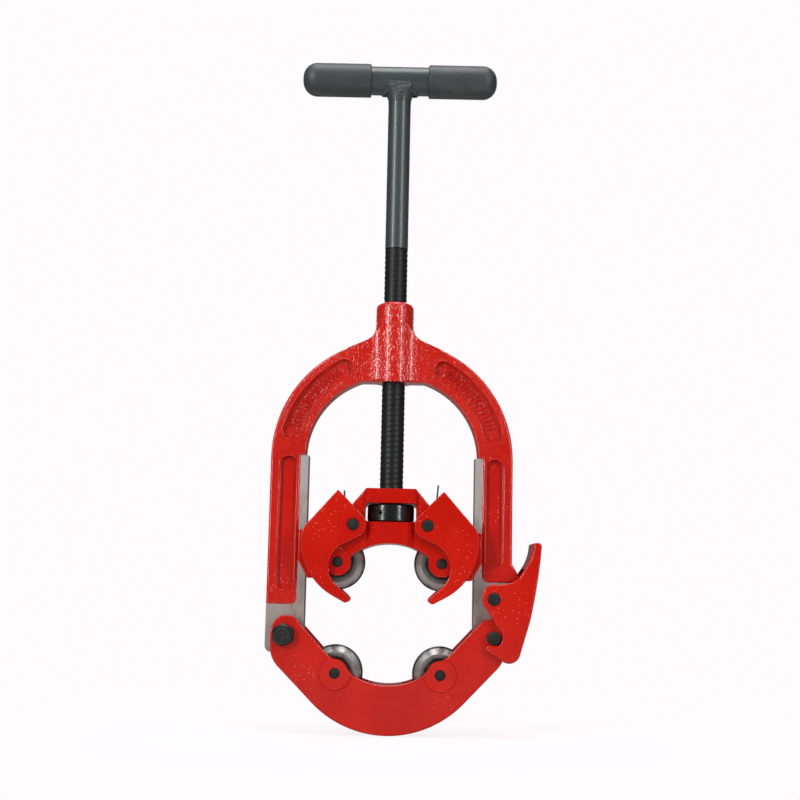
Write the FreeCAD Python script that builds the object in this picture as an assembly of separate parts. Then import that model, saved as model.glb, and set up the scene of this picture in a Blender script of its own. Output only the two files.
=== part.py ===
import FreeCAD, Part
import math
import os
from FreeCAD import Vector

# Hinged four-wheel pipe cutter, millimetres. The origin is the centre of the four cutter
# wheels' pins, on the middle plane. X runs from the hinge to the latch, Y along the pipe,
# and Z up the feed screw to the handle. What is symmetric about X = 0 or Y = 0 is built once.

# Cutter wheels and their pins
pin_span_x = 48.2
pin_span_z = 50.45
wheel_radius = 25.4
wheel_hub_radius = 12.5
wheel_rim_radius = 18.5
wheel_hub_half = 9.2
wheel_rim_half = 5.4
wheel_edge_half = 0.3
wheel_pin_radius = 5.0

# Thicknesses, as half widths along Y
rail_half = 9.2
slot_half = 9.6
arm_half = 10.0
cheek_half = 18.5
boss_rise = 0.8
centre_boss_half = 23.0
guide_inner_half = 20.0
guide_outer_half = 26.0
latch_inner_half = 19.0
latch_outer_half = 25.5

# Fits
running_gap = 0.06
press_gap = 0.02

# Frame
outer_half = 113.7
arm_inner = 85.6
rail_inner = 78.1
rail_top = 149.5
arch_centre_z = 148.3
arch_flat_z = 220.6
left_paint_end = 11.0
right_paint_end = 34.3
right_foot_x = 121.0
tongue_bottom = -33.0
hub_radius = 18.0
hub_bottom = 220.6
hub_top = 298.0
flare_top = 279.0
flare_reach = 45.6
web_radius = 20.0
pocket_depth = 4.0
pocket_slope = 1.6
pocket_half_width = 9.0
pocket_x = 96.8
arc_pocket_radius = 98.8
arc_pocket_centre_z = 146.4

# Feed screw and handle
screw_radius = 11.0
screw_end = 77.0
journal_radius = 7.0
journal_top = 88.4
thread_top = 352.0
stem_radius = 11.1
bar_z = 523.0
bar_radius = 14.0
bar_half = 84.0
grip_radius = 16.3
grip_inner = 28.2
grip_outer = 95.5
grip_dome = 14.0
collar_radius = 21.9
collar_low = 88.6
collar_high = 104.8
set_screw_turn = 28.7
set_screw_radius = 3.0

# Carriage
window_half = 24.0
window_low = 88.0
window_high = 105.6
side_slot_inner = 27.0
lip_outer = 85.2

# Guides, one on each side of the carriage
guide_pin_x = 34.5
guide_pin_z = 84.9
guide_pin_radius = 5.25
guide_eye_radius = 12.3
guide_bar_x = 49.2
guide_bar_z = 109.9
guide_bar_radius = 4.4
spring_wire = 0.9
spring_radius = 6.3
spring_pitch = 2.5
spring_turns = 4.0

# Lower jaw, its hinge bolt and the catch pin
hinge_x = -96.0
hinge_z = -16.6
catch_x = 96.4
catch_z = -15.9
hinge_bolt_radius = 6.0
catch_pin_radius = 6.0
jaw_web = 6.0
jaw_bottom = 105.4
jaw_diagonal = 145.8
jaw_arc = (jaw_diagonal - jaw_bottom) / (math.sqrt(2) - 1)
jaw_end_clearance = 27.0

# Latch
pivot_x = 96.3
pivot_z = 19.2
pivot_pin_radius = 6.0
pivot_boss_radius = 9.6


def at(x, z, y=0.0):
    """A point given by its place in the front view, and its depth."""
    return Vector(x, y, z)


def outline(start, steps):
    """A closed wire in the front view. A step of two numbers is a line, and of four an arc."""
    here = start
    edges = []
    for step in steps:
        there = step[-2:]
        if len(step) == 2:
            edges.append(Part.makeLine(at(*here), at(*there)))
        else:
            edges.append(Part.Arc(at(*here), at(*step[:2]), at(*there)).toShape())
        here = there
    if here != start:
        edges.append(Part.makeLine(at(*here), at(*start)))
    return Part.Wire(edges)


def rounded(corners):
    """A closed wire through corners (x, z, radius), each turned by an arc of its radius."""
    count = len(corners)
    ends = []
    edges = []
    for k in range(count):
        here = at(*corners[k][:2])
        back = (at(*corners[k - 1][:2]) - here).normalize()
        ahead = (at(*corners[(k + 1) % count][:2]) - here).normalize()
        radius = corners[k][2]
        half_turn = back.getAngle(ahead) / 2
        reach = radius / math.tan(half_turn)
        first = here + back * reach
        last = here + ahead * reach
        if radius > 0:
            inward = (back + ahead).normalize()
            middle = here + inward * (radius / math.sin(half_turn) - radius)
            edges.append(Part.Arc(first, middle, last).toShape())
        ends.append((first, last))
    for k in range(count):
        last = ends[k - 1][1]
        first = ends[k][0]
        if (first - last).Length > 0.001:
            edges.append(Part.makeLine(last, first))
    return Part.Wire(Part.__sortEdges__(edges))


def plate(wire, low, high):
    """The wire's area, as thick as from low to high along Y."""
    flat = Part.Face(wire)
    flat.translate(Vector(0, low, 0))
    return flat.extrude(Vector(0, high - low, 0))


def box(x0, x1, y0, y1, z0, z1):
    return Part.makeBox(x1 - x0, y1 - y0, z1 - z0, Vector(x0, y0, z0))


def rod(x, z, radius, low, high):
    """A cylinder along Y."""
    return Part.makeCylinder(radius, high - low, at(x, z, low), Vector(0, 1, 0))


def drum(radius, low, high):
    """A cylinder on the feed screw's axis."""
    return Part.makeCylinder(radius, high - low, Vector(0, 0, low))


def mirrored(shape):
    """The shape on the other side of the middle, across X."""
    return shape.mirror(Vector(0, 0, 0), Vector(1, 0, 0))


def both_faces(shape):
    """The shape with its twin on the rear face."""
    return shape.fuse(shape.mirror(Vector(0, 0, 0), Vector(0, 1, 0)))


def soft_plate(wire, half, radius):
    """The wire's area, twice half thick along Y, with its front and rear rims rounded off."""
    front = plate(wire, -half, 0)
    rims = []
    for edge in front.Edges:
        room = edge.BoundBox
        if room.YLength < 0.01 and abs(room.YMin + half) < 0.01:
            rims.append(edge)
    return both_faces(front.makeFillet(radius, rims)).removeSplitter()


def save(name, shape):
    """Write one piece. A piece is always a single closed solid."""
    solid = shape.removeSplitter()
    if len(solid.Solids) != 1 or not solid.isValid():
        raise ValueError(name + " is not one valid solid")
    solid.Solids[0].exportStep("parts/" + name + ".step")
    print(name, round(solid.Volume / 1000, 1), "cm3")


def slot_wire(radius, depth, low, high):
    """A straight round-ended pocket's rim on the right arm."""
    start = (pocket_x - radius, high - radius)
    steps = [
        (pocket_x, high, pocket_x + radius, high - radius),
        (pocket_x + radius, low + radius),
        (pocket_x, low, pocket_x - radius, low + radius),
    ]
    wire = outline(start, steps)
    wire.translate(Vector(0, depth, 0))
    return wire


def arc_slot_wire(radius, depth, first, last):
    """A round-ended pocket's rim that follows the arch, between two angles from the X axis."""
    outer = arc_pocket_radius + radius
    inner = arc_pocket_radius - radius
    turn = math.degrees(radius / arc_pocket_radius)
    middle = (first + last) / 2

    def polar(reach, angle):
        here = math.radians(angle)
        return (reach * math.cos(here), arc_pocket_centre_z + reach * math.sin(here))

    start = polar(outer, first)
    steps = [
        polar(outer, middle) + polar(outer, last),
        polar(arc_pocket_radius, last + turn) + polar(inner, last),
        polar(inner, middle) + polar(inner, first),
        polar(arc_pocket_radius, first - turn) + start,
    ]
    wire = outline(start, steps)
    wire.translate(Vector(0, depth, 0))
    return wire


def pocket(wire_maker, low, high):
    """A shallow pocket in both faces of an arm, with sloping walls."""
    rim = wire_maker(pocket_half_width, -arm_half - 0.01, low, high)
    floor = wire_maker(pocket_half_width - pocket_slope, pocket_depth - arm_half, low, high)
    return both_faces(Part.makeLoft([rim, floor], True))


def casting():
    """The painted body: the arch with its flat under the hub, and an arm down each side."""
    top = arch_centre_z + outer_half
    wire = rounded(
        [
            (-outer_half, top, outer_half),
            (outer_half, top, outer_half),
            (outer_half, 52.3, 5.0),
            (right_foot_x, 39.7, 2.0),
            (right_foot_x, right_paint_end, 1.0),
            (arm_inner, right_paint_end, 5.0),
            (arm_inner, rail_top, 0),
            (80.9, rail_top, 0),
            (77.7, 201.6, 76.0),
            (29.6, arch_flat_z, 9.0),
            (-29.6, arch_flat_z, 9.0),
            (-77.7, 201.6, 76.0),
            (-80.9, rail_top, 0),
            (-arm_inner, rail_top, 0),
            (-arm_inner, left_paint_end, 4.0),
            (-outer_half, left_paint_end, 1.0),
        ]
    )
    return soft_plate(wire, arm_half, 2.0)


def hub_web():
    """The hub's plan below the flare: the arms' thickness, with hollow corners to the barrel."""
    centre_y = arm_half + web_radius
    centre_x = math.sqrt((hub_radius + web_radius) ** 2 - centre_y**2)
    share = hub_radius / (hub_radius + web_radius)
    near = (centre_x * share, centre_y * share)
    turn = math.atan2(centre_y - near[1], centre_x - near[0]) / 2 + math.radians(45)
    middle = (centre_x - web_radius * math.cos(turn), centre_y - web_radius * math.sin(turn))
    corner = [(flare_reach, arm_half), (centre_x, arm_half), middle, near]
    first = [Vector(x, y, hub_bottom + 2) for x, y in corner]
    edges = []
    for sign_x, sign_y in ((1, 1), (-1, 1), (-1, -1), (1, -1)):
        end, foot, bend, top = [Vector(v.x * sign_x, v.y * sign_y, v.z) for v in first]
        edges.append(Part.makeLine(end, foot))
        edges.append(Part.Arc(foot, bend, top).toShape())
        edges.append(Part.makeLine(end, Vector(end.x, 0, end.z)))
        edges.append(Part.makeLine(top, Vector(0, top.y, top.z)))
    plan = Part.Wire(Part.__sortEdges__(edges))
    return Part.Face(plan).extrude(Vector(0, 0, flare_top - hub_bottom))


def hub():
    """The nut for the feed screw: a round boss that flares into the arch."""
    boss = Part.makeCylinder(hub_radius, hub_top - hub_bottom, Vector(0, 0, hub_bottom))
    ends = [e for e in boss.Edges if e.BoundBox.ZLength < 0.01]
    rounded = boss.makeFillet(5.0, [e for e in ends if e.BoundBox.ZMin > hub_top - 1])
    flare = outline(
        (0, flare_top),
        [
            (hub_radius, flare_top),
            (21.6, 267.3, 31.2, 259.5),
            (flare_reach, 252.9),
            (flare_reach, hub_bottom + 2),
            (0, hub_bottom + 2),
        ],
    )
    skirt = Part.Face(flare).revolve(Vector(0, 0, 0), Vector(0, 0, 1), 360)
    return rounded.fuse(skirt.common(hub_web()))


def rail(x0, x1, bottom, corner):
    """A bare machined tongue, thinner than its arm, that guides the carriage and the jaw."""
    blank = box(x0, x1, -rail_half, rail_half, bottom, rail_top)
    ends = []
    for edge in blank.Edges:
        room = edge.BoundBox
        if room.ZLength < 0.01 and room.XLength < 0.01 and room.ZMin < bottom + 1:
            ends.append(edge)
    return blank.makeFillet(corner, ends)


def make_frame():
    body = casting().fuse(hub())
    body = body.fuse(rail(-outer_half, -rail_inner, tongue_bottom, 6.0))
    body = body.fuse(rail(rail_inner, outer_half, catch_z + 1.5, 1.5))
    boss_half = latch_inner_half - 0.3
    body = body.fuse(rod(pivot_x, pivot_z, pivot_boss_radius, -boss_half, boss_half))
    body = body.cut(pocket(slot_wire, 47.5, 149.4))
    body = body.cut(mirrored(pocket(slot_wire, 23.4, 149.4)))
    arc = pocket(arc_slot_wire, 15.5, 61.5)
    body = body.cut(arc).cut(mirrored(arc))
    seat = catch_pin_radius + 0.8
    body = body.cut(rod(catch_x, catch_z, seat, -rail_half - 1, rail_half + 1))
    body = body.cut(rod(hinge_x, hinge_z, hinge_bolt_radius + running_gap, -30, 30))
    body = body.cut(rod(pivot_x, pivot_z, pivot_pin_radius + press_gap, -30, 30))
    return body.cut(drum(screw_radius + running_gap, hub_bottom - 5, hub_top + 5))


def carriage_wire():
    """Half of the carriage's front view, mirrored to the other half."""
    right = [
        (23.5, 119.0),
        (35.8, 104.4),
        (52.0, 86.0),
        (56.0, 81.5, 61.0, 79.8),
        (lip_outer, 79.8),
        (lip_outer, 52.0),
        (77.0, 36.9),
        (75.6, 35.3),
        (64.0, 35.3),
        (55.5, 40.6),
        (42.0, 39.9, 36.4, 53.0),
        (35.2, 56.2),
    ]
    arch = (0.0, 68.3, -35.2, 56.2)
    left = [
        (-36.4, 53.0),
        (-42.0, 39.9, -55.5, 40.6),
        (-64.0, 35.3),
        (-75.6, 35.3),
        (-77.0, 36.9),
        (-lip_outer, 52.0),
        (-lip_outer, 79.8),
        (-61.0, 79.8),
        (-56.0, 81.5, -52.0, 86.0),
        (-35.8, 104.4),
        (-23.5, 119.0),
    ]
    return outline(right[0], right[1:] + [arch] + left)


def centre_boss():
    """The thicker middle: a full block over the window and a sloping-sided one under it."""
    over = box(-23.5, 23.5, -centre_boss_half, centre_boss_half, 100.0, 119.0)
    uprights = [e for e in over.Edges if e.BoundBox.ZLength > 1]
    over = over.makeChamfer(1.5, uprights)
    sides = [
        Vector(-22.0, -cheek_half, 60),
        Vector(-16.0, -centre_boss_half, 60),
        Vector(16.0, -centre_boss_half, 60),
        Vector(22.0, -cheek_half, 60),
        Vector(22.0, cheek_half, 60),
        Vector(16.0, centre_boss_half, 60),
        Vector(-16.0, centre_boss_half, 60),
        Vector(-22.0, cheek_half, 60),
    ]
    under = Part.Face(Part.makePolygon(sides + sides[:1])).extrude(Vector(0, 0, 32))
    below_arch = outline((-23.0, 50.0), [(-23.0, 63.8), (0, 68.3, 23.0, 63.8), (23.0, 50.0)])
    return over.fuse(under.cut(plate(below_arch, -30, 30)))


def make_carriage():
    wire = carriage_wire()
    body = soft_plate(wire, cheek_half, 1.5)
    half = cheek_half + boss_rise
    for x in (-pin_span_x, pin_span_x):
        ring = rod(x, pin_span_z, 13.2, -half, half)
        ring = ring.makeChamfer(0.7, ring.Edges[:1] + ring.Edges[2:3])
        body = body.fuse(ring.common(plate(wire, -half, half)))
    body = body.fuse(centre_boss())
    window = box(-window_half, window_half, -30, 30, window_low, window_high)
    corners = [e for e in window.Edges if e.BoundBox.YLength > 1]
    body = body.cut(window.makeFillet(4.5, corners))
    slot = box(side_slot_inner, 100, -slot_half, slot_half, 20, 130)
    body = body.cut(slot).cut(mirrored(slot))
    for x in (-pin_span_x, pin_span_x):
        body = body.cut(rod(x, pin_span_z, wheel_radius + 1.0, -slot_half, slot_half))
        body = body.cut(rod(x, pin_span_z, wheel_pin_radius + press_gap, -30, 30))
    for x in (-guide_pin_x, guide_pin_x):
        body = body.cut(rod(x, guide_pin_z, guide_pin_radius + press_gap, -30, 30))
    body = body.cut(drum(screw_radius + running_gap, 100, 125))
    return body.cut(drum(journal_radius + running_gap, screw_end - 1.5, 100))


def jaw_wire():
    """The front view of the lower jaw: an eye at each end and a saddle between the wheels."""
    side = jaw_arc * math.sqrt(0.5)
    centre = jaw_arc - jaw_bottom
    right = [
        (36.9, -46.0),
        (40.3, -40.9, 49.5, -37.6),
        (54.2, -35.0),
        (83.2, -4.2),
        (93.5, 1.0, 106.6, -8.0),
        (108.0, -14.0),
        (108.0, -26.0),
        (105.4, -36.6, 98.3, -46.3),
        (side, centre - side),
    ]
    bottom = (0.0, -jaw_bottom, -side, centre - side)
    left = [
        (-99.0, -46.8),
        (-106.0, -37.2, -108.0, -26.0),
        (-108.0, -14.0),
        (-106.6, -8.0),
        (-93.5, 1.0, -83.2, -4.2),
        (-54.2, -35.0),
        (-49.5, -37.6),
        (-40.3, -40.9, -36.9, -46.0),
        (-31.5, -52.4),
    ]
    saddle = (0.0, -60.8, 31.5, -52.4)
    return outline((31.5, -52.4), right + [bottom] + left + [saddle])


def jaw_slot():
    """The room between the cheeks, for the wheels and for the frame's two tongues."""
    reach = jaw_web * math.sqrt(2)
    line = reach - jaw_diagonal
    inner = jaw_arc - jaw_web
    low = inner * math.sqrt(0.5)
    wire = outline(
        (-120.0, 30.0),
        [
            (-120.0, line + 120.0),
            (-low, line + low),
            (0.0, jaw_web - jaw_bottom, low, line + low),
            (120.0, line + 120.0),
            (120.0, 30.0),
        ],
    )
    room = plate(wire, -slot_half, slot_half)
    rib = box(-14, 14, -slot_half, slot_half, -120, -50)
    room = room.cut(rib)
    for x in (hinge_x, -hinge_x):
        room = room.fuse(rod(x, hinge_z, jaw_end_clearance, -slot_half, slot_half))
    return room


def make_lower_jaw():
    wire = jaw_wire()
    body = soft_plate(wire, cheek_half, 1.5)
    half = cheek_half + boss_rise
    for x in (-pin_span_x, pin_span_x):
        ring = rod(x, -pin_span_z, 15.0, -half, half)
        ring = ring.makeChamfer(0.7, ring.Edges[:1] + ring.Edges[2:3])
        body = body.fuse(ring.common(plate(wire, -half, half)))
    body = body.cut(jaw_slot())
    for x in (-pin_span_x, pin_span_x):
        body = body.cut(rod(x, -pin_span_z, wheel_pin_radius + press_gap, -30, 30))
    body = body.cut(rod(hinge_x, hinge_z, hinge_bolt_radius + press_gap, -30, 30))
    return body.cut(rod(catch_x, catch_z, catch_pin_radius + press_gap, -30, 30))


def hexagon(x, z, across, low, high):
    """A hexagonal prism along Y, given its width across flats."""
    reach = across / math.sqrt(3)
    corners = []
    for k in range(7):
        turn = math.radians(60 * k + 30)
        corners.append(at(x + reach * math.cos(turn), z + reach * math.sin(turn), low))
    return Part.Face(Part.makePolygon(corners)).extrude(Vector(0, high - low, 0))


def chamfered_cap(x, z, radius, low, high, bevel, toward_front):
    """A round blank with one end bevelled, for trimming the corners off a hexagon."""
    blank = rod(x, z, radius, low, high)
    end = low if toward_front else high
    rims = [e for e in blank.Edges if e.BoundBox.YLength < 0.01 and abs(e.BoundBox.YMin - end) < 0.01]
    return blank.makeChamfer(bevel, rims)


def make_hinge_bolt():
    head = hexagon(hinge_x, hinge_z, 19.0, -cheek_half - 7.5, -cheek_half)
    cap = chamfered_cap(hinge_x, hinge_z, 10.6, -cheek_half - 7.5, -cheek_half, 2.6, True)
    shank = chamfered_cap(hinge_x, hinge_z, hinge_bolt_radius, -cheek_half, 31.5, 1.0, False)
    return head.common(cap).fuse(shank)


def make_hinge_nut():
    blank = hexagon(hinge_x, hinge_z, 19.0, cheek_half, cheek_half + 10.5)
    cap = chamfered_cap(hinge_x, hinge_z, 10.4, cheek_half, cheek_half + 10.5, 1.4, False)
    bore = rod(hinge_x, hinge_z, hinge_bolt_radius + press_gap, 0, 40)
    return blank.common(cap).cut(bore)


def make_pin(x, z, radius, half, bevel):
    pin = rod(x, z, radius, -half, half)
    rims = [e for e in pin.Edges if e.BoundBox.YLength < 0.01]
    return pin.makeChamfer(bevel, rims)


def make_wheel(x, z):
    """A cutter wheel: a hub, a flat disc and a bevel that runs out to the cutting edge."""
    half = [
        (wheel_pin_radius + running_gap, wheel_hub_half - 0.4),
        (wheel_pin_radius + running_gap + 0.4, wheel_hub_half),
        (wheel_hub_radius - 0.6, wheel_hub_half),
        (wheel_hub_radius, wheel_hub_half - 0.6),
        (wheel_hub_radius + 0.6, wheel_rim_half),
        (wheel_rim_radius, wheel_rim_half),
        (wheel_radius, wheel_edge_half),
    ]
    other = [(r, -y) for r, y in reversed(half)]
    profile = [Vector(r, y, 0) for r, y in half + other + half[:1]]
    wheel = Part.Face(Part.makePolygon(profile)).revolve(Vector(0, 0, 0), Vector(0, 1, 0), 360)
    wheel.translate(at(x, z))
    return wheel


def guide_wire():
    """The front view of the right guide: an eye, a hooked claw and a pointed shoulder."""
    return rounded(
        [
            (49.0, 116.9, 1.0),
            (13.8, 81.6, guide_eye_radius),
            (73.1, 51.6, 23.0),
            (17.9, 1.2, 3.3),
            (82.2, 35.9, 58.0),
            (82.2, 79.2, 22.0),
        ]
    )


def make_guide():
    """Two claw plates with a bar between their shoulders, turning on the guide pin."""
    thick = (guide_outer_half - guide_inner_half) / 2
    front = soft_plate(guide_wire(), thick, 1.0)
    front.translate(Vector(0, -guide_inner_half - thick, 0))
    hole = rod(guide_pin_x, guide_pin_z, guide_pin_radius + running_gap, -40, 40)
    mouth = at(guide_pin_x, guide_pin_z, -guide_outer_half)
    sink = Part.makeCone(guide_pin_radius + 1.3, guide_pin_radius, 1.3, mouth, Vector(0, 1, 0))
    bar = rod(guide_bar_x, guide_bar_z, guide_bar_radius, -guide_inner_half - 1, guide_inner_half + 1)
    return both_faces(front.cut(sink)).fuse(bar).cut(hole)


def make_spring(leg_top):
    """A torsion spring around the guide pin, with one leg inside the bar and one on the slot's wall."""
    height = spring_pitch * spring_turns
    coil_turns = spring_turns + 0.125
    coil = Part.makeHelix(spring_pitch, spring_pitch * coil_turns, spring_radius)
    start = Part.makeCircle(spring_wire, Vector(spring_radius, 0, 0), Vector(0, 1, 0))
    body = Part.Wire(coil.Edges).makePipeShell([Part.Wire([start])], True, True)
    lift = spring_pitch * coil_turns
    end_angle = math.radians(45)
    last = Vector(spring_radius * math.cos(end_angle), spring_radius * math.sin(end_angle), lift)
    long_leg = leg(Vector(spring_radius, 0, 0), Vector(spring_radius + 3.4, guide_pin_z - leg_top, 0))
    short_leg = leg(last, last + Vector(-9.6, 9.6, 0))
    body = body.fuse(long_leg).fuse(short_leg).removeSplitter()
    body.translate(Vector(0, 0, -height / 2))
    body.rotate(Vector(0, 0, 0), Vector(1, 0, 0), -90)
    body.translate(at(guide_pin_x, guide_pin_z))
    return body


def leg(foot, tip):
    """A straight wire from the foot to the tip, a little thinner than the coil it leaves."""
    way = (tip - foot).normalize()
    start = foot - way * 0.6
    length = (tip - start).Length
    return Part.makeCylinder(spring_wire - 0.1, length, start, way)


def latch_wire():
    """The front view of the latch: an eye on the pivot, a finger lever above and a hook below."""
    return outline(
        (98.4, 32.9),
        [
            (88.2, 28.6, 85.6, 20.6),
            (86.0, 15.4, 89.0, 10.6),
            (100.6, -7.6),
            (104.2, -16.2, 100.4, -22.6),
            (91.4, -22.6),
            (89.4, -24.6, 91.2, -28.2),
            (103.6, -35.9),
            (115.0, -37.4, 120.8, -30.0),
            (129.8, 0.8),
            (136.2, 36.0, 139.6, 64.6),
            (139.9, 68.2),
            (138.9, 70.6, 136.6, 71.6),
            (134.9, 71.6),
            (133.2, 70.9, 132.5, 69.2),
            (129.8, 57.0, 125.4, 48.4),
            (119.2, 39.0),
            (109.5, 33.8, 98.4, 32.9),
        ],
    )


def make_latch():
    """One casting that straddles the frame and the jaw, closed along its outer side."""
    half = latch_outer_half
    body = soft_plate(latch_wire(), half, 1.8)
    inside = outline(
        (80.0, 48.0),
        [
            (124.8, 48.0),
            (127.4, 44.0, 128.0, 38.0),
            (127.3, 19.0, 123.2, 1.6),
            (119.9, -12.4, 114.9, -26.0),
            (110.0, -31.5, 104.0, -40.0),
            (80.0, -40.0),
        ],
    )
    body = body.cut(plate(inside, -latch_inner_half, latch_inner_half))
    return body.cut(rod(pivot_x, pivot_z, pivot_pin_radius + running_gap, -40, 40))


def make_feed_screw():
    shaft = drum(screw_radius, journal_top, thread_top)
    rims = [e for e in shaft.Edges if e.BoundBox.ZLength < 0.01]
    shaft = shaft.makeChamfer(0.8, rims)
    return shaft.fuse(drum(journal_radius, screw_end, journal_top + 2))


def make_stem():
    """The plain upper rod, flared by the weld where it meets the crossbar."""
    rod_part = drum(stem_radius, thread_top, bar_z)
    weld = outline(
        (0, 498.5), [(stem_radius, 498.5), (12.4, 506.0, 17.0, 513.5), (17.0, bar_z), (0, bar_z)]
    )
    flare = Part.Face(weld).revolve(Vector(0, 0, 0), Vector(0, 0, 1), 360)
    flare = flare.common(box(-30, 30, -bar_radius + 0.6, bar_radius - 0.6, 480, bar_z))
    bar = Part.makeCylinder(bar_radius + press_gap, 80, Vector(-40, 0, bar_z), Vector(1, 0, 0))
    return rod_part.fuse(flare).cut(bar)


def make_crossbar():
    bar = Part.makeCylinder(bar_radius, 2 * bar_half, Vector(-bar_half, 0, bar_z), Vector(1, 0, 0))
    rims = [e for e in bar.Edges if e.BoundBox.XLength < 0.01]
    return bar.makeChamfer(1.0, rims)


def rims_at(shape, x):
    """The shape's edges that lie in the plane at x."""
    rims = []
    for edge in shape.Edges:
        room = edge.BoundBox
        if room.XLength < 0.01 and abs(room.XMin - x) < 0.01:
            rims.append(edge)
    return rims


def make_grip():
    """The right grip: a rubber sleeve with a rounded outer end."""
    start = Vector(grip_inner, 0, bar_z)
    blank = Part.makeCylinder(grip_radius, grip_outer - grip_inner, start, Vector(1, 0, 0))
    blank = blank.makeFillet(grip_dome, rims_at(blank, grip_outer))
    blank = blank.makeFillet(1.5, rims_at(blank, grip_inner))
    depth = bar_half - grip_inner + 1.0
    bore = Part.makeCylinder(bar_radius + press_gap, depth, start, Vector(1, 0, 0))
    return blank.cut(bore)


def set_screw_shape(radius, inner, outer):
    """A cylinder through the collar's wall, where the set screw sits."""
    turn = math.radians(-90 - set_screw_turn)
    way = Vector(math.cos(turn), math.sin(turn), 0)
    foot = way * inner + Vector(0, 0, (collar_low + collar_high) / 2)
    return Part.makeCylinder(radius, outer - inner, foot, way)


def make_collar():
    ring = Part.makeCylinder(collar_radius, collar_high - collar_low, Vector(0, 0, collar_low))
    rims = [e for e in ring.Edges if e.BoundBox.ZLength < 0.01]
    ring = ring.makeChamfer(1.2, rims)
    ring = ring.cut(drum(screw_radius + press_gap, 80, 110))
    return ring.cut(set_screw_shape(set_screw_radius + press_gap, 5, 30))


def make_set_screw():
    screw = set_screw_shape(set_screw_radius, screw_radius + 0.1, collar_radius - 1.6)
    return screw.cut(set_screw_shape(1.5, collar_radius - 5.0, collar_radius))


def build():
    os.makedirs("parts", exist_ok=True)
    save("frame", make_frame())
    save("latch_pivot_pin", make_pin(pivot_x, pivot_z, pivot_pin_radius, latch_outer_half + 0.3, 0.8))

    save("carriage", make_carriage())
    guide_pin = make_pin(guide_pin_x, guide_pin_z, guide_pin_radius, guide_outer_half, 0.7)
    guide = make_guide()
    for side, turned in (("left", True), ("right", False)):
        x = -pin_span_x if turned else pin_span_x
        upper_pin = make_pin(x, pin_span_z, wheel_pin_radius, cheek_half + boss_rise - 0.3, 0.7)
        lower_pin = make_pin(x, -pin_span_z, wheel_pin_radius, cheek_half + boss_rise - 0.3, 0.7)
        save("upper_wheel_pin_" + side, upper_pin)
        save("lower_wheel_pin_" + side, lower_pin)
        save("upper_wheel_" + side, make_wheel(x, pin_span_z))
        save("lower_wheel_" + side, make_wheel(x, -pin_span_z))
        spring = make_spring(117.5 if turned else 124.0)
        save("guide_pin_" + side, mirrored(guide_pin) if turned else guide_pin)
        save("guide_" + side, mirrored(guide) if turned else guide)
        save("guide_spring_" + side, mirrored(spring) if turned else spring)

    save("lower_jaw", make_lower_jaw())
    save("hinge_bolt", make_hinge_bolt())
    save("hinge_nut", make_hinge_nut())
    save("catch_pin", make_pin(catch_x, catch_z, catch_pin_radius, latch_outer_half + 0.3, 0.8))
    save("latch", make_latch())

    save("feed_screw", make_feed_screw())
    save("handle_stem", make_stem())
    save("handle_crossbar", make_crossbar())
    grip = make_grip()
    save("grip_left", mirrored(grip))
    save("grip_right", grip)
    save("thrust_collar", make_collar())
    save("collar_set_screw", make_set_screw())


build()
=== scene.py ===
import math

import bmesh
import bpy
import numpy as np
from mathutils import Matrix, Vector


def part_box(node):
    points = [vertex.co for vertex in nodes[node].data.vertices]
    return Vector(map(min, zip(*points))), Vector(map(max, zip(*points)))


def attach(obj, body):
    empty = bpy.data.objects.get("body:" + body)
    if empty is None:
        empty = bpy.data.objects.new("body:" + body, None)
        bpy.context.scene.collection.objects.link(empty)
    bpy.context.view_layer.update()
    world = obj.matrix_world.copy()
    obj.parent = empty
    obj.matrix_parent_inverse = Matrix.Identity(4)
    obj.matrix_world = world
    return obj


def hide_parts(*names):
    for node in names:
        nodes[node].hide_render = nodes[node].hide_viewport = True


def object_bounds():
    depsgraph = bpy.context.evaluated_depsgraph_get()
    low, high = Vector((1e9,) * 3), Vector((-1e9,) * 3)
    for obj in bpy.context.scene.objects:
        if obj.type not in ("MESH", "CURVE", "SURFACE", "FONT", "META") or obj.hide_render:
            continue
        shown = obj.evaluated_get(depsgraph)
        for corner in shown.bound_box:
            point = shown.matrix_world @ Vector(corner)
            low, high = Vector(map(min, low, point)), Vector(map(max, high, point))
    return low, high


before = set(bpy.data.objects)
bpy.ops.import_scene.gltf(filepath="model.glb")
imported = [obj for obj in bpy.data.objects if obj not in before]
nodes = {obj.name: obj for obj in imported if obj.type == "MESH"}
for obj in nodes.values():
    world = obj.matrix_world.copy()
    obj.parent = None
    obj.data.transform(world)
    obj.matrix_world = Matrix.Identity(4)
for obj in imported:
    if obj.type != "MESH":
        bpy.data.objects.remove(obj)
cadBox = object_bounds()
scene = bpy.context.scene
print("frame loaded:", len(nodes), "nodes")


# Shader maths: an expression on Socket values adds the nodes that work it out.
class Socket:
    def __init__(self, tree, out):
        self.tree = tree
        self.out = out

    def math(self, operation, values):
        return add(self.tree, "ShaderNodeMath", {"operation": operation}, values)

    def __add__(self, other):
        return self.math("ADD", [self, other])

    def __sub__(self, other):
        return self.math("SUBTRACT", [self, other])

    def __rsub__(self, other):
        return self.math("SUBTRACT", [other, self])

    def __mul__(self, other):
        return self.math("MULTIPLY", [self, other])

    def __abs__(self):
        return self.math("ABSOLUTE", [self])

    __radd__ = __add__
    __rmul__ = __mul__

    # 0 on one side and 1 on the other, smooth from low to high, falling where low is above high
    def step(self, low, high):
        rising = high > low
        values = {"Value": self, "From Min": min(low, high), "From Max": max(low, high)}
        values.update({"To Min": 0.0 if rising else 1.0, "To Max": 1.0 if rising else 0.0})
        return add(self.tree, "ShaderNodeMapRange", {"interpolation_type": "SMOOTHSTEP"}, values)


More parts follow.
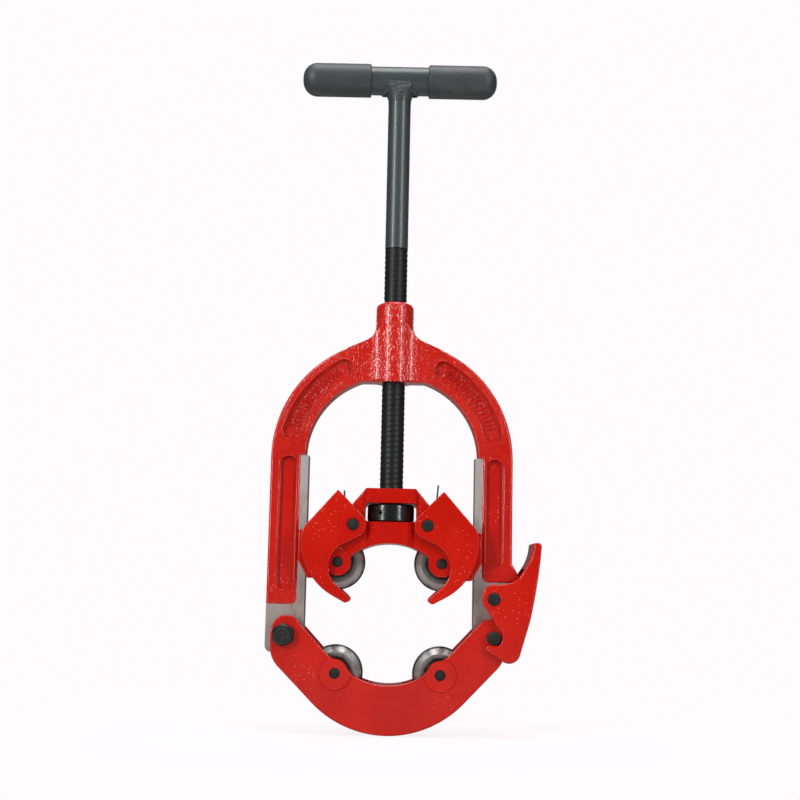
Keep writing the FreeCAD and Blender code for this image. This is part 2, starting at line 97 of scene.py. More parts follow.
# Any node: its settings first, then the values or links of its sockets, by name or in order.
def add(tree, kind, settings=None, values=None, output=0):
    node = tree.nodes.new(kind)
    for name, value in (settings or {}).items():
        setattr(node, name, value)
    pairs = values.items() if isinstance(values, dict) else enumerate(values or [])
    for name, value in pairs:
        if isinstance(value, Socket):
            tree.links.new(value.out, node.inputs[name])
        else:
            node.inputs[name].default_value = value
    return Socket(tree, node.outputs[output])


# The place on the object, from a centre and in units of a size, so a long size stretches a pattern.
def place(tree, centre=(0, 0, 0), size=(1, 1, 1)):
    here = add(tree, "ShaderNodeTexCoord", output=3)
    values = {"Vector": here, "Location": centre, "Scale": size}
    return add(tree, "ShaderNodeMapping", {"vector_type": "TEXTURE"}, values)


def noise(tree, spot, scale=1.0, detail=2.0, roughness=0.5):
    values = {"Vector": spot, "Scale": scale, "Detail": detail, "Roughness": roughness}
    return add(tree, "ShaderNodeTexNoise", {}, values)


def split(tree, vector):
    return [add(tree, "ShaderNodeSeparateXYZ", {}, [vector], output=k) for k in range(3)]


# How far a spot is from the origin in the plane of two of its coordinates.
def planeDistance(first, second):
    squares = first * first + second * second
    return squares.math("SQRT", [squares])


def blendColours(tree, share, first, second):
    def full(colour):
        return colour if isinstance(colour, Socket) else (*colour, 1.0)

    settings = {"data_type": "RGBA"}
    values = {0: share, 6: full(first), 7: full(second)}
    return add(tree, "ShaderNodeMix", settings, values, output=2)


# Scattered round specks: 1 inside a speck, on a share of the cells of a Voronoi pattern.
def specks(tree, spot, scale, radius, share):
    settings = {"feature": "F1"}
    values = {"Vector": spot, "Scale": scale}
    distance = add(tree, "ShaderNodeTexVoronoi", settings, values, output=0)
    tint = add(tree, "ShaderNodeTexVoronoi", settings, values, output=1)
    chance = split(tree, tint)[0]
    return distance.step(radius, radius * 0.6) * chance.step(1.0 - share, 1.0 - share * 0.7)


def bump(tree, height, depth):
    values = {"Strength": 1.0, "Distance": depth, "Height": height}
    return add(tree, "ShaderNodeBump", {}, values)


# A material whose shader has the constants in settings.
def newMaterial(name, settings):
    material = bpy.data.materials.new(name)
    material.use_nodes = True
    tree = material.node_tree
    shader = tree.nodes["Principled BSDF"]
    for socket, value in settings.items():
        shader.inputs[socket].default_value = value
    return material, tree, shader


# Links what changes over the surface to the shader's sockets.
def feed(tree, shader, **links):
    for name, value in links.items():
        tree.links.new(value.out, shader.inputs[name.replace("_", " ")])


enamel = {
    "colour": (0.455, 0.0085, 0.0026),
    "thinColour": (0.36, 0.0035, 0.0012),
    "thinShare": 0.75,
    "dustColour": (0.74, 0.23, 0.17),
    "dustSize": 0.0021,
    "dustRadius": 0.26,
    "dustShare": 0.30,
    "dustStrength": 0.75,
    "roughness": 0.16,
    "coat": 0.3,
    "coatRoughness": 0.14,
    "gloss": 0.2,
    "frameGloss": 0.5,
    "peelSize": 0.0021,
    "lumpScale": 90.0,
    "broadScale": 14.0,
    "fineScale": 420.0,
    "patchScale": 26.0,
    "peelDepth": 0.00095,  # on the frame's arch
    "smoothDepth": 0.00012,  # on the other castings
    "flatPeel": 0.25,  # the share of peelDepth on the frame's arms
    "archLow": 0.12,
    "archHigh": 0.20,
}


# Sprayed red enamel on rough castings: an orange-peel skin, thin and thick areas, and grains of dust.
def enamelLayers(tree):
    spot = place(tree)
    broad = noise(tree, spot, enamel["broadScale"], 3.0, 0.6)
    fine = noise(tree, spot, enamel["fineScale"], 2.0, 0.6)
    dust = specks(tree, spot, 1 / enamel["dustSize"], enamel["dustRadius"], enamel["dustShare"])
    patch = noise(tree, spot, enamel["patchScale"], 1.0).step(0.47, 0.66)
    grains = dust * patch
    thin = (broad + fine * 0.25).step(0.80, 0.45) * enamel["thinShare"]
    colour = blendColours(tree, thin, enamel["colour"], enamel["thinColour"])
    colour = blendColours(tree, grains * enamel["dustStrength"], colour, enamel["dustColour"])
    peel = noise(tree, spot, 1 / enamel["peelSize"], 1.0, 0.5)
    lumps = noise(tree, spot, enamel["lumpScale"], 2.0, 0.5)
    height = peel + lumps * 0.6 + grains * 0.4
    roughness = enamel["roughness"] + (fine - 0.5) * 0.12 + grains * 0.3
    return colour, roughness, height


def makeRedEnamel():
    settings = {
        "Coat Weight": enamel["coat"],
        "Coat Roughness": enamel["coatRoughness"],
        "Specular IOR Level": enamel["gloss"],
    }
    material, tree, shader = newMaterial("redEnamel", settings)
    colour, roughness, height = enamelLayers(tree)
    normal = bump(tree, height, enamel["smoothDepth"])
    feed(tree, shader, Base_Color=colour, Roughness=roughness, Normal=normal)
    return material


machined = {
    "colour": (0.42, 0.39, 0.37),
    "stainAndShadeColour": (0.20, 0.125, 0.105),
    "metal": 0.55,
    "roughness": 0.36,
    "streakWidth": 0.0007,
    "streakLength": 0.05,
    "stainSize": (0.02, 0.02, 0.05),
    "nickScale": 260.0,
    "bumpShare": 0.08,
    # the bare steel is darker towards the bottom: fully below lowFull, fading out by lowStart
    "lowDarkening": 0.42,
    "lowStart": 0.055,
    "lowFull": 0.030,
    # edgeX and the edge's strength: painted shade on the rails' and tongues' inward side faces
    "edgeX": (0.0786, 0.0783),
    "edgeShade": 1.6,
    "insideX": (0.060, 0.062),
    "innerX": 0.0856,
    "topZ": 0.1495,
    "halfThickness": 0.00935,
    "blur": 0.0002,
    "wobble": 0.0016,
    "wobbleScale": 260.0,
    "sideStart": (0.0, 0.001),
    # side: the height where the paint ends, and from the corner inwards how much higher
    "paintEnds": {-1: (0.0110, 0.0896, 0.0041), 1: (0.0343, 0.0906, 0.0050)},
}


# Planed steel: fine streaks up and down, brown stains and small dark nicks. It is darker where low
# rises: painted shade on the rails' inward side faces, and a darkening towards the bottom.
def machinedLayers(tree, low):
    width, length = machined["streakWidth"], machined["streakLength"]
    streaks = noise(tree, place(tree, size=(width, width, length)), 1.0, 3.0, 0.6)
    stains = noise(tree, place(tree, size=machined["stainSize"]), 1.0, 4.0, 0.65)
    nicks = specks(tree, place(tree), machined["nickScale"], 0.25, 0.12)
    share = stains.step(0.48, 0.72) * 0.6 + (streaks - 0.5) * 0.7 + nicks * 0.5
    # low darkens the steel: painted shade on the inward side faces, and darker towards the bottom
    share = (share + low * machined["lowDarkening"]).step(0.0, 1.0)
    colour = blendColours(tree, share, machined["colour"], machined["stainAndShadeColour"])
    roughness = machined["roughness"] + (streaks - 0.5) * 0.22 + stains * 0.08
    return colour, roughness, streaks - nicks


# 1 on the frame's bare tongues, inside the arms and below the paint's end, and 0 elsewhere.
def bareMask(tree, x, y, z):
    blur = machined["blur"]
    top, half = machined["topZ"], machined["halfThickness"]
    wobble = noise(tree, place(tree), machined["wobbleScale"], 2.0) - 0.5
    wobble = wobble * machined["wobble"]
    bare = (machined["innerX"] - abs(x) + wobble).step(-blur, blur)
    bare = bare * z.step(top + 2 * blur, top) * abs(x).step(*machined["insideX"])
    for side, (paintEnd, cornerX, cornerRise) in machined["paintEnds"].items():
        away = x * side
        corner = away.step(cornerX + blur / 2, cornerX - blur / 2) * cornerRise
        below = (paintEnd + corner - z + wobble).step(-blur, blur)
        bare = bare + below * away.step(*machined["sideStart"])
    return bare.math("MINIMUM", [bare, 1.0]) * abs(y).step(half + 2 * blur, half)


# The frame: enamel over the casting, and bare tongues inside the arms and below them.
def makeFrameFinish():
    settings = {
        "Coat Roughness": enamel["coatRoughness"],
        "Specular IOR Level": enamel["frameGloss"],
    }
    material, tree, shader = newMaterial("frameFinish", settings)
    colour, roughness, height = enamelLayers(tree)
    x, y, z = split(tree, add(tree, "ShaderNodeTexCoord", output=3))
    # Painted shade: the rails' and tongues' inward side faces, inside edgeX, are darkened as if in
    # shade. The steel is also darker towards the bottom.
    shadedEdge = abs(x).step(*machined["edgeX"])
    low = z.step(machined["lowStart"], machined["lowFull"]) + shadedEdge * machined["edgeShade"]
    steelColour, steelRoughness, steelHeight = machinedLayers(tree, low)
    bare = bareMask(tree, x, y, z)
    painted = 1 - bare
    arch = z.step(enamel["archLow"], enamel["archHigh"])
    lumpy = painted * (arch * (1 - enamel["flatPeel"]) + enamel["flatPeel"])
    skin = height * lumpy + steelHeight * bare * machined["bumpShare"]
    feed(
        tree,
        shader,
        Base_Color=blendColours(tree, bare, colour, steelColour),
        Metallic=bare * machined["metal"],
        Roughness=roughness * painted + steelRoughness * bare,
        Coat_Weight=painted * enamel["coat"],
        Normal=bump(tree, skin, enamel["peelDepth"]),
    )
    return material


wheelSteel = {
    "colour": (0.42, 0.41, 0.40),
    "dark": (0.040, 0.042, 0.042),
    "roughness": 0.25,
    "ringScale": 1900.0,
    "smudgeScale": 120.0,
    "ringDepth": 0.00006,
    "brightStart": (0.0178, 0.0186),
    "brightEnd": (0.0226, 0.0212),
    "outerDark": (0.0232, 0.0244),
    "innerDark": (0.0172, 0.0128),
}


# Turned steel: rings that depend only on the distance from the wheel's pin.
def makeWheelSteel(name, centre):
    material, tree, shader = newMaterial("turnedSteel_" + name, {"Metallic": 1.0})
    x, _, z = split(tree, place(tree, centre))
    radius = planeDistance(x, z)
    ringSpot = add(tree, "ShaderNodeCombineXYZ", {}, [radius, 0.0, 0.0])
    rings = noise(tree, ringSpot, wheelSteel["ringScale"], 2.0, 0.7)
    smudge = noise(tree, place(tree), wheelSteel["smudgeScale"], 3.0, 0.6)
    bright = radius.step(*wheelSteel["brightStart"]) * radius.step(*wheelSteel["brightEnd"])
    outer = radius.step(*wheelSteel["outerDark"])
    inner = radius.step(*wheelSteel["innerDark"])
    share = smudge.step(0.45, 0.75) * 0.35 + (rings - 0.5) * 0.9 + outer * 0.6 + inner * 0.6
    share = (share - bright * 0.45 + 0.15).step(-0.1, 0.9)
    colour = blendColours(tree, share, wheelSteel["colour"], wheelSteel["dark"])
    roughness = wheelSteel["roughness"] + (rings - 0.5) * 0.2 + smudge * 0.08
    normal = bump(tree, rings, wheelSteel["ringDepth"])
    feed(tree, shader, Base_Color=colour, Roughness=roughness, Normal=normal)
    return material


oxide = {
    "colour": (0.0060, 0.0070, 0.0072),
    "edgeColour": (0.040, 0.047, 0.046),
    "roughness": 0.40,
    "glossyRoughness": 0.22,
    "cloudScale": 160.0,
    "gritScale": 900.0,
    "chipScale": 340.0,
    "depth": 0.00006,
}


# Blackened steel with a faint blue-green cast, rubbed a little brighter in patches.
def makeBlackOxide(name="blackOxide", roughness=oxide["roughness"], lift=0.0, gloss=0.5):
    material, tree, shader = newMaterial(name, {"Specular IOR Level": gloss})
    spot = place(tree)
    cloud = noise(tree, spot, oxide["cloudScale"], 4.0, 0.65)
    grit = noise(tree, spot, oxide["gritScale"], 2.0, 0.6)
    chips = specks(tree, spot, oxide["chipScale"], 0.22, 0.10)
    share = (cloud.step(0.5, 0.8) * 0.35 + chips * 0.7 + lift).step(0.0, 1.0)
    colour = blendColours(tree, share, oxide["colour"], oxide["edgeColour"])
    feed(
        tree,
        shader,
        Base_Color=colour,
        Metallic=chips * 0.6,
        Roughness=roughness + (grit - 0.5) * 0.25,
        Normal=bump(tree, grit + cloud, oxide["depth"]),
    )
    return material


# the ring and its groove are in shares of the pin's radius
pinEnd = {
    "ring": (0.70, 0.80),
    "groove": (0.98, 0.90),
    "roughness": 0.40,
    "gloss": 0.35,
    "cloudScale": 300.0,
    "gritScale": 1100.0,
    "depth": 0.00007,
    "boltRadius": 0.0080,
}


# A pin's end: a dark ring round a slightly polished middle, about the pin's own axis along Y.
def makePinFinish(name, centre, radius):
    settings = {"Specular IOR Level": pinEnd["gloss"]}
    material, tree, shader = newMaterial("pinFinish_" + name, settings)
    x, _, z = split(tree, place(tree, centre))
    reach = planeDistance(x, z)
    cloud = noise(tree, place(tree), pinEnd["cloudScale"], 4.0, 0.65)
    grit = noise(tree, place(tree), pinEnd["gritScale"], 2.0, 0.6)
    ring = reach.step(*(radius * share for share in pinEnd["ring"]))
    groove = ring * reach.step(*(radius * share for share in pinEnd["groove"]))
    share = (cloud.step(0.42, 0.80) * 0.75 * (1 - ring)).step(0.0, 1.0)
    colour = blendColours(tree, share, oxide["colour"], oxide["edgeColour"])
    feed(
        tree,
        shader,
        Base_Color=colour,
        Roughness=pinEnd["roughness"] + (grit - 0.5) * 0.25 + ring * 0.05,
        Normal=bump(tree, grit + cloud * 2.0 - groove * 6.0, pinEnd["depth"]),
    )
    return material


greyPaint = {
    "colour": (0.025, 0.033, 0.034),
    "worn": (0.095, 0.108, 0.108),
    "roughness": 0.40,
    "coat": 0.12,
    "streakWidth": 0.0012,
    "streakLength": 0.06,
    "cloudScale": 60.0,
    "fineScale": 700.0,
    "chipScale": 150.0,
    "depth": 0.0001,
    "beadSize": (0.004, 0.004, 0.0018),
    "weldStart": (0.4985, 0.5025),
    "noWeld": (0.999, 1.003),  # above the whole tool
}


# Grey-green paint on drawn steel: faint streaks along one axis, a few bright chips, and rough weld
# beads above the height where the weld starts.
def makeGreyEnamel(name, streakAxis, weldStart=greyPaint["noWeld"]):
    settings = {"Specular IOR Level": 0.5, "Coat Weight": greyPaint["coat"]}
    material, tree, shader = newMaterial(name, settings)
    streakSize = [greyPaint["streakWidth"]] * 3
    streakSize["XYZ".index(streakAxis)] = greyPaint["streakLength"]
    streaks = noise(tree, place(tree, size=streakSize), 1.0, 3.0, 0.6)
    cloud = noise(tree, place(tree), greyPaint["cloudScale"], 3.0, 0.6)
    fine = noise(tree, place(tree), greyPaint["fineScale"], 2.0, 0.6)
    chips = specks(tree, place(tree), greyPaint["chipScale"], 0.13, 0.10)
    weld = split(tree, place(tree))[2].step(*weldStart)
    beads = noise(tree, place(tree, size=greyPaint["beadSize"]), 1.0, 2.0, 0.6) * weld
    share = (streaks - 0.5) * 0.8 + cloud.step(0.5, 0.8) * 0.3 + chips * 0.9 + (beads - 0.5) * weld
    colour = blendColours(tree, share.step(0.0, 1.0), greyPaint["colour"], greyPaint["worn"])
    feed(
        tree,
        shader,
        Base_Color=colour,
        Roughness=greyPaint["roughness"] + (fine - 0.5) * 0.2 + chips * 0.2,
        Normal=bump(tree, fine * 0.6 + cloud + chips * 1.5 + beads * 14.0, greyPaint["depth"]),
    )
    return material


rubber = {
    "colour": (0.026, 0.032, 0.032),
    "pale": (0.052, 0.058, 0.058),
    "paleShare": 0.7,
    "roughness": 0.50,
    "grainScale": 1500.0,
    "cloudSize": (0.03, 0.012, 0.012),
    "depth": 0.00008,
}


# Moulded rubber: matt, with a fine grain and slightly paler rubbed patches.
def makeGripRubber():
    material, tree, shader = newMaterial("gripRubber", {"Specular IOR Level": 0.4})
    grain = noise(tree, place(tree), rubber["grainScale"], 2.0, 0.6)
    cloud = noise(tree, place(tree, size=rubber["cloudSize"]), 1.0, 3.0, 0.6)
    share = cloud.step(0.42, 0.78) * rubber["paleShare"]
    colour = blendColours(tree, share, rubber["colour"], rubber["pale"])
    feed(
        tree,
        shader,
        Base_Color=colour,
        Roughness=rubber["roughness"] + (grain - 0.5) * 0.25 - share * 0.08,
        Normal=bump(tree, grain + cloud * 2.0, rubber["depth"]),
    )
    return material


def paint(material, *names):
    for name in names:
        slots = nodes[name].data.materials
        slots.clear()
        slots.append(material)


redEnamel = makeRedEnamel()
paint(redEnamel, "carriage", "guide_left", "guide_right", "lower_jaw", "latch")
paint(makeFrameFinish(), "frame")
for name in ("upper_wheel_left", "upper_wheel_right", "lower_wheel_left", "lower_wheel_right"):
    low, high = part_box(name)
    paint(makeWheelSteel(name, (low + high) / 2), name)
for name in [node for node in nodes if "pin" in node.split("_")]:
    low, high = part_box(name)
    paint(makePinFinish(name, (low + high) / 2, (high.x - low.x) / 2), name)
low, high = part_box("hinge_bolt")
paint(makePinFinish("hinge_bolt", (low + high) / 2, pinEnd["boltRadius"]), "hinge_bolt")
paint(makeBlackOxide(), "hinge_nut", "feed_screw", "guide_spring_left", "guide_spring_right")
paint(makeBlackOxide("glossyOxide", oxide["glossyRoughness"]), "thrust_collar", "collar_set_screw")
greyStem = makeGreyEnamel("greyStem", "Z", greyPaint["weldStart"])
paint(greyStem, "handle_stem")
paint(makeGreyEnamel("greyBar", "X"), "handle_crossbar")
paint(makeGripRubber(), "grip_left", "grip_right")
print("finishes made for", len(nodes), "nodes")

screw = {
    "low": 0.0884,
    "high": 0.3520,
    "pitch": 0.005,
    "crest": 0.0110,
    "root": 0.0107,
    "chamfer": 0.0012,
    "perTurn": 64,
    "journalRadius": 0.0070,
    "journalEnd": 0.0770,
    "journalChamfer": 0.0008,
    "overlap": 0.001,
    # a tooth's profile: heights from 0 at the root to 1 at the crest, at shares of the pitch
    "toothShares": (0.0, 0.22, 0.28, 0.42, 0.48, 0.74, 0.80, 0.94, 1.0),
    "toothHeights": (0, 0, 0.12, 0.88, 1, 1, 0.88, 0.12, 0),
    "threadFinish": (0.42, -0.25, 0.22),  # roughness, lift and gloss
    "columns": (0.0, 0.20, 0.28, 0.42, 0.50, 0.72, 0.80, 0.94, 1.0),
}
creaseAngle = math.radians(30)
mergeDistance = 1e-6
shortestEdge = 1e-7


def meshFromArrays(name, points, faces):
    mesh = bpy.data.meshes.new(name)
    mesh.from_pydata(points.tolist(), [], faces.tolist())
    mesh.update()
    return mesh


# Quads between neighbouring rows and columns of a grid of points.
def gridFaces(rows, columns):
    corner = np.arange(rows * columns).reshape(rows, columns)
    quads = [corner[:-1, :-1], corner[1:, :-1], corner[1:, 1:], corner[:-1, 1:]]
    return np.stack([q.ravel() for q in quads], axis=1)


# The points and faces of several grids of the same size.
def joinGrids(grids):
    rows, columns = grids[0].shape[:2]
    starts = np.arange(len(grids))[:, None, None] * (rows * columns)
    faces = gridFaces(rows, columns)[None] + starts
    return np.concatenate(grids).reshape(-1, 3), faces.reshape(-1, 4)


# Joins the seams, closes the ends, turns the faces outwards and puts the piece on its body.
def finishMesh(name, points, faces, body, material):
    mesh = meshFromArrays(name, points, faces)
    work = bmesh.new()
    work.from_mesh(mesh)
    bmesh.ops.remove_doubles(work, verts=work.verts, dist=mergeDistance)
    bmesh.ops.dissolve_degenerate(work, edges=work.edges, dist=shortestEdge)
    bmesh.ops.holes_fill(work, edges=[e for e in work.edges if e.is_boundary], sides=0)
    bmesh.ops.recalc_face_normals(work, faces=work.faces)
    work.to_mesh(mesh)
    work.free()
    mesh.shade_smooth()
    mesh.set_sharp_from_angle(angle=creaseAngle)
    piece = bpy.data.objects.new(name, mesh)
    scene.collection.objects.link(piece)
    mesh.materials.append(material)
    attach(piece, body)
    return piece


# A ribbon one pitch wide is wound round the Z axis. At angle u and share v across it, the height is
# low + pitch (u / 2 pi - 1 + v), held between the two ends, and the radius is the tooth's profile at v,
# which is never above the chamfer's cone at each end.
def makeThread():
    turns = (screw["high"] - screw["low"]) / screw["pitch"]
    count = int(math.ceil((turns + 1) * screw["perTurn"])) + 1
    wound = np.arange(count)[:, None] / screw["perTurn"]
    share = np.clip(np.array([screw["columns"]]), 1.0 - wound, turns + 1.0 - wound)
    share = np.clip(share, 0.0, 1.0)
    depth = screw["crest"] - screw["root"]
    tooth = np.interp(share, screw["toothShares"], screw["toothHeights"])
    height = screw["low"] + screw["pitch"] * (wound - 1.0 + share)
    radius = screw["root"] + depth * tooth
    fromEnd = np.minimum(height - screw["low"], screw["high"] - height)
    radius = np.minimum(radius, screw["crest"] - screw["chamfer"] + fromEnd)
    angle = 2 * math.pi * wound + 0 * share
    points = np.stack([radius * np.cos(angle), radius * np.sin(angle), height], axis=-1)
    return points.reshape(-1, 3), gridFaces(count, share.shape[1])


# A profile of radius and height turned round the Z axis, closed at its first and last points.
def turned(profile, steps):
    profile = np.array(profile)
    angle = np.linspace(0, 2 * math.pi, steps + 1)[:, None]
    radius = profile[None, :, 0]
    height = profile[None, :, 1] + 0 * angle
    points = np.stack([radius * np.cos(angle), radius * np.sin(angle), height], axis=-1)
    return points.reshape(-1, 3), gridFaces(steps + 1, len(profile))


def makeJournal():
    reach, foot, chamfer = (screw[k] for k in ("journalRadius", "journalEnd", "journalChamfer"))
    top = screw["low"] + screw["overlap"]
    corners = [(0, foot), (reach - chamfer, foot), (reach, foot + chamfer), (reach, top), (0, top)]
    return turned(corners, screw["perTurn"])


threadPoints, threadFaces = makeThread()
journalPoints, journalFaces = makeJournal()
allPoints = np.concatenate([threadPoints, journalPoints])
allFaces = np.concatenate([threadFaces, journalFaces + len(threadPoints)])
threadOxide = makeBlackOxide("threadOxide", *screw["threadFinish"])
thread = finishMesh("screwThread", allPoints, allFaces, "feed", threadOxide)
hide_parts("feed_screw")
print("thread made:", len(thread.data.polygons), "faces")

relief = {
    "radius": 0.0988,
    "centreZ": 0.1464,
    "floorY": 0.0060,
    "firstAngle": 19.0,
    "lastAngle": 58.0,
    "bars": 17,
    "halfWidth": 0.0042,
    "halfLengths": (0.0008, 0.0013, 0.0007, 0.0011),
    "rise": 0.0024,
    "sink": 0.0003,
    "steps": (9, 11),
}


# Low rounded bars along the floor of each curved pocket. At shares u and v from -1 to 1 across one,
# the height over the floor is rise (1 - u^6) (1 - v^6) - sink, and the place is read off the arc.
def makeRaisedBars():
    u = np.linspace(-1, 1, relief["steps"][0])[None, :, None]
    v = np.linspace(-1, 1, relief["steps"][1])[None, None, :]
    count = relief["bars"]
    halfLength = np.resize(relief["halfLengths"], count)[:, None, None]
    middle = np.radians(np.linspace(relief["firstAngle"], relief["lastAngle"], count))
    angle = middle[:, None, None] + u * halfLength / relief["radius"] + 0 * v
    reach = relief["radius"] + v * relief["halfWidth"] + 0 * angle
    height = relief["rise"] * (1 - u**6) * (1 - v**6) - relief["sink"] + 0 * angle
    x = reach * np.cos(angle)
    z = relief["centreZ"] + reach * np.sin(angle)
    y = relief["floorY"] + height
    sides = [np.stack([x * a, y * b, z], axis=-1) for a in (1, -1) for b in (1, -1)]
    return joinGrids(np.concatenate(sides))


barPoints, barFaces = makeRaisedBars()
bars = finishMesh("raisedBars", barPoints, barFaces, "frame", redEnamel)
print("raised bars made:", len(bars.data.polygons), "faces")

lip = {
    "faceY": 0.0100,
    "halfWidth": 0.0090,
    "radius": 0.0008,
    "sink": 0.00045,
    "straightX": 0.0968,
    "straightHigh": 0.1404,
    "rightLow": 0.0565,
    "leftLow": 0.0324,
    "firstAngle": 15.5,
    "lastAngle": 61.5,
    "sideSteps": 32,
    "turnSteps": 16,
    "ringSteps": 12,
}


# A round bead along a pocket's rim. The rim runs along the pocket at +w, turns by the end angle t with
# w sin t and w cos t, and returns at -w. The bead's angle p moves a point r cos p out from the rim and
# r sin p out of the face.
def rimBead(first, last):
    half = lip["halfWidth"]
    side = np.linspace(0, 1, lip["sideSteps"] + 1)[:-1]
    turn = np.linspace(0, math.pi, lip["turnSteps"] + 1)[:-1]
    still = np.zeros_like(side)
    run = (last - first) * side
    lift = half * np.sin(turn)
    along = np.concatenate([first + run, last + lift, last - run, first - lift])
    across = np.concatenate([still + half, half * np.cos(turn), still - half, -half * np.cos(turn)])
    outAlong = np.concatenate([still, np.sin(turn), still, -np.sin(turn)])
    outAcross = np.concatenate([still + 1, np.cos(turn), still - 1, -np.cos(turn)])
    ringAngle = np.linspace(0, 2 * math.pi, lip["ringSteps"] + 1)[None, :]
    reach = lip["radius"] * np.cos(ringAngle)
    out = lip["faceY"] - lip["sink"] + lip["radius"] * np.sin(ringAngle)
    rows = [np.append(a, a[0])[:, None] for a in (along, across, outAlong, outAcross)]
    return rows[0] + rows[2] * reach, rows[1] + rows[3] * reach, out + 0 * rows[0]


# The curved pockets' beads are bent so that along is a length on the arc, and the straight ones stand
# upright. Each shape is on both arms and on both faces.
def makePocketLips():
    shapes = []
    arcRadius = relief["radius"]
    first, last = (math.radians(lip[k]) * arcRadius for k in ("firstAngle", "lastAngle"))
    along, across, out = rimBead(first, last)
    reach = arcRadius + across
    arcX = reach * np.cos(along / arcRadius)
    arcZ = relief["centreZ"] + reach * np.sin(along / arcRadius)
    arc = np.stack([arcX, out, arcZ], axis=-1)
    for sign, low in ((1, lip["rightLow"]), (-1, lip["leftLow"])):
        along, across, out = rimBead(low, lip["straightHigh"])
        straight = np.stack([lip["straightX"] + across, out, along], axis=-1)
        shapes += [shape * (sign, rear, 1) for shape in (arc, straight) for rear in (1, -1)]
    return joinGrids(shapes)


lipPoints, lipFaces = makePocketLips()
lips = finishMesh("pocketLips", lipPoints, lipFaces, "frame", redEnamel)
print("pocket lips made:", len(lips.data.polygons), "faces")

# body: the boss's middle in X and Z, its radius, the face it stands on, the bead's radius, the angles
# where the bead starts and ends, and the sides it is on
rims = {
    "carriage": ((0.0482, 0.05045), 0.0119, 0.0193, 0.0007, 0, 360, (1, -1)),
    "lower_jaw": ((0.0482, -0.05045), 0.0146, 0.0193, 0.0008, -172, 62, (1, -1)),
    "latch": ((0.0963, 0.0192), 0.0070, 0.0255, 0.0006, 0, 360, (1,)),
}
rimBeadShape = {"steps": 96, "ringSteps": 12, "sink": 0.45}


# A round bead round a boss: angle a goes round the boss and angle p round the bead, so the place is
# (R + r cos p) cos a along X, (R + r cos p) sin a along Z, and r sin p out of the face.
def makeRim(body):
    (x, z), radius, face, thick, first, last, sides = rims[body]
    angle = np.radians(np.linspace(first, last, rimBeadShape["steps"] + 1))[:, None]
    ringAngle = np.linspace(0, 2 * math.pi, rimBeadShape["ringSteps"] + 1)[None, :]
    reach = radius + thick * np.cos(ringAngle)
    out = face - thick * rimBeadShape["sink"] + thick * np.sin(ringAngle) + 0 * angle
    ring = np.stack([x + reach * np.cos(angle), out, z + reach * np.sin(angle)], axis=-1)
    points, faces = joinGrids([ring * (side, rear, 1) for side in sides for rear in (1, -1)])
    return finishMesh("rims_" + body, points, faces, body, redEnamel)


for body in rims:
    makeRim(body)
print("rims made:", len(rims))

weldBead = {
    "barRadius": 0.0140,
    "barZ": 0.5230,
    "reach": 0.0166,
    "halfDepth": 0.0105,
    "radius": 0.0016,
    "ripple": 0.18,
    "ripples": 26,
    "turnSteps": 192,
    "ringSteps": 16,
}


# A weld bead lies on the bar's underside round the stem: at turn t it is at reach cos t along the bar
# and halfDepth sin t across it, on the bar's circle. Its own radius swells with the ripples along it.
def makeWeldBead():
    turn = np.linspace(0, 2 * math.pi, weldBead["turnSteps"] + 1)[:, None]
    ringAngle = np.linspace(0, 2 * math.pi, weldBead["ringSteps"] + 1)[None, :]
    x = weldBead["reach"] * np.cos(turn)
    y = weldBead["halfDepth"] * np.sin(turn)
    lift = np.arcsin(y / weldBead["barRadius"])
    swell = np.sin(weldBead["ripples"] * turn) * np.cos(3 * turn)
    thick = weldBead["radius"] * (1 + weldBead["ripple"] * swell)
    reach = weldBead["barRadius"] + thick * np.sin(ringAngle)
    side = thick * np.cos(ringAngle)
    around = lift + side * np.sin(turn) / weldBead["barRadius"]
    height = weldBead["barZ"] - reach * np.cos(around)
    points = np.stack([x + side * np.cos(turn), reach * np.sin(around), height], axis=-1)
    return points.reshape(-1, 3), gridFaces(*points.shape[:2])


beadPoints, beadFaces = makeWeldBead()
bead = finishMesh("weldBead", beadPoints, beadFaces, "feed", greyStem)
print("weld bead made:", len(bead.data.polygons), "faces")

studio = {
    "backdrop": (1.0, 0.965, 0.982),
    "ambient": 0.10,
    "bounce": (0.46, 0.45, 0.45),
    "floorDrop": 0.0006,
    "floorSize": 14.0,
    "floorColours": ((0.86, 0.845, 0.85), (0.90, 0.885, 0.89)),
    "shadeStart": 0.12,
    "shadeEnd": 0.42,
    "glowNear": 0.88,
}


# The backdrop is bright to the camera and dim to every other ray, so it doesn't flood the paint.
def makeWorld():
    world = bpy.data.worlds.new("studioWorld")
    scene.world = world
    world.use_nodes = True
    tree = world.node_tree
    background = tree.nodes["Background"]
    seen = add(tree, "ShaderNodeLightPath")
    background.inputs["Color"].default_value = (*studio["backdrop"], 1.0)
    strength = seen * (1.0 - studio["ambient"]) + studio["ambient"]
    tree.links.new(strength.out, background.inputs["Strength"])


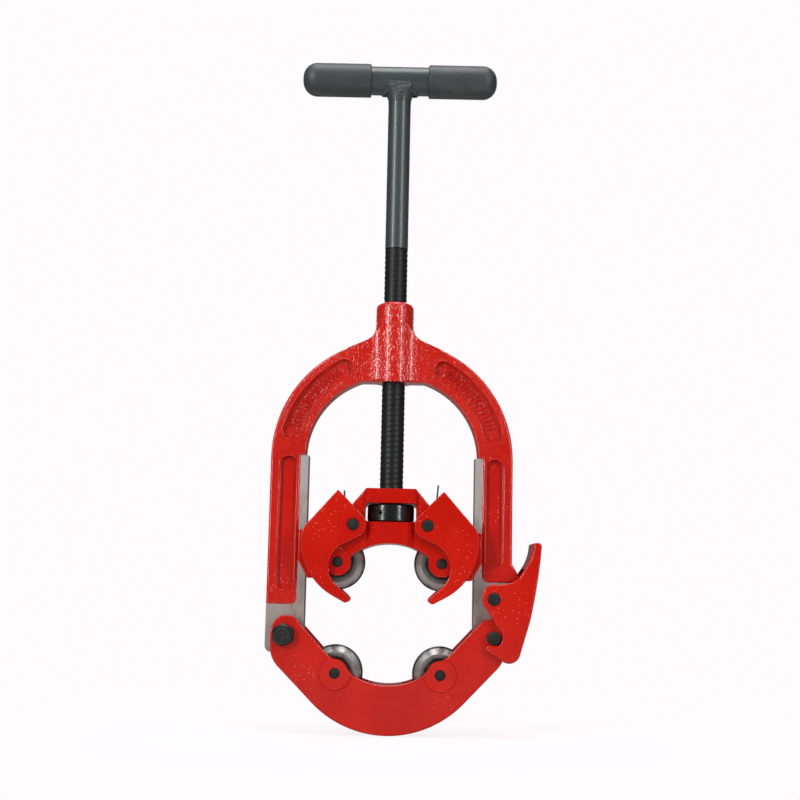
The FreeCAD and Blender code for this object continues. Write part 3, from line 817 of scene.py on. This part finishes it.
# The floor glows like the backdrop to the camera, a little less near the tool, where its shadow shows.
def makeFloor(height):
    material, tree, shader = newMaterial("paleFloor", {"Roughness": 0.9})
    mottle = noise(tree, place(tree), 3.0, 2.0)
    colour = blendColours(tree, mottle, *studio["floorColours"])
    seen = add(tree, "ShaderNodeLightPath")
    feed(tree, shader, Base_Color=blendColours(tree, seen, studio["bounce"], colour))
    x, y, _ = split(tree, place(tree))
    away = planeDistance(x, y).step(studio["shadeStart"], studio["shadeEnd"])
    glow = add(tree, "ShaderNodeEmission", {}, {"Color": (*studio["backdrop"], 1.0), "Strength": 1.0})
    glowShare = seen * (away * (1 - studio["glowNear"]) + studio["glowNear"])
    surface = Socket(tree, shader.outputs[0])
    mixed = add(tree, "ShaderNodeMixShader", {}, [glowShare, surface, glow])
    tree.links.new(mixed.out, tree.nodes["Material Output"].inputs["Surface"])
    half = studio["floorSize"] / 2
    side = np.linspace(-half, half, 3)
    points = np.stack(np.meshgrid(side, side, [height], indexing="ij"), axis=-1).reshape(-1, 3)
    mesh = meshFromArrays("studioFloor", points, gridFaces(3, 3))
    floor = bpy.data.objects.new("studioFloor", mesh)
    scene.collection.objects.link(floor)
    mesh.materials.append(material)


# name: place, point it faces, width, height, power
lights = {
    "softboxLeft": ((-1.45, -1.60, 0.90), (0, 0, 0.20), 0.20, 1.7, 43.0),
    "softboxRight": ((1.45, -1.60, 0.90), (0, 0, 0.20), 0.17, 1.7, 30.0),
    "softboxTop": ((0.0, -0.25, 2.1), (0, 0, 0.2), 1.6, 1.2, 36.0),
    "softboxBack": ((0.0, 1.9, 1.3), (0, 0, 0.15), 1.6, 1.2, 18.0),
}


def makeLights():
    for name, (spot, target, width, height, power) in lights.items():
        data = bpy.data.lights.new(name, "AREA")
        data.shape = "RECTANGLE"
        data.size = width
        data.size_y = height
        data.energy = power
        lamp = bpy.data.objects.new(name, data)
        lamp.location = spot
        lamp.rotation_euler = (Vector(target) - Vector(spot)).to_track_quat("-Z", "Y").to_euler()
        scene.collection.objects.link(lamp)


viewpoint = {
    "place": (0.00641, -1.2185, 0.03213),
    "pitch": 8.08,
    "roll": 1.2,
    "lens": 58.06,
    "sensorWidth": 36.0,
    "nearest": 0.05,
    "farthest": 60.0,
}


def makeCamera():
    data = bpy.data.cameras.new("studioCamera")
    data.lens = viewpoint["lens"]
    data.sensor_width = viewpoint["sensorWidth"]
    data.clip_start = viewpoint["nearest"]
    data.clip_end = viewpoint["farthest"]
    camera = bpy.data.objects.new("studioCamera", data)
    tilt = Matrix.Rotation(math.radians(90 + viewpoint["pitch"]), 4, "X")
    roll = Matrix.Rotation(math.radians(viewpoint["roll"]), 4, "Z")
    camera.matrix_world = Matrix.Translation(viewpoint["place"]) @ tilt @ roll
    scene.collection.objects.link(camera)
    scene.camera = camera


makeWorld()
makeFloor(cadBox[0].z - studio["floorDrop"])
makeLights()
makeCamera()
scene.view_settings.view_transform = "Standard"
print("studio made")
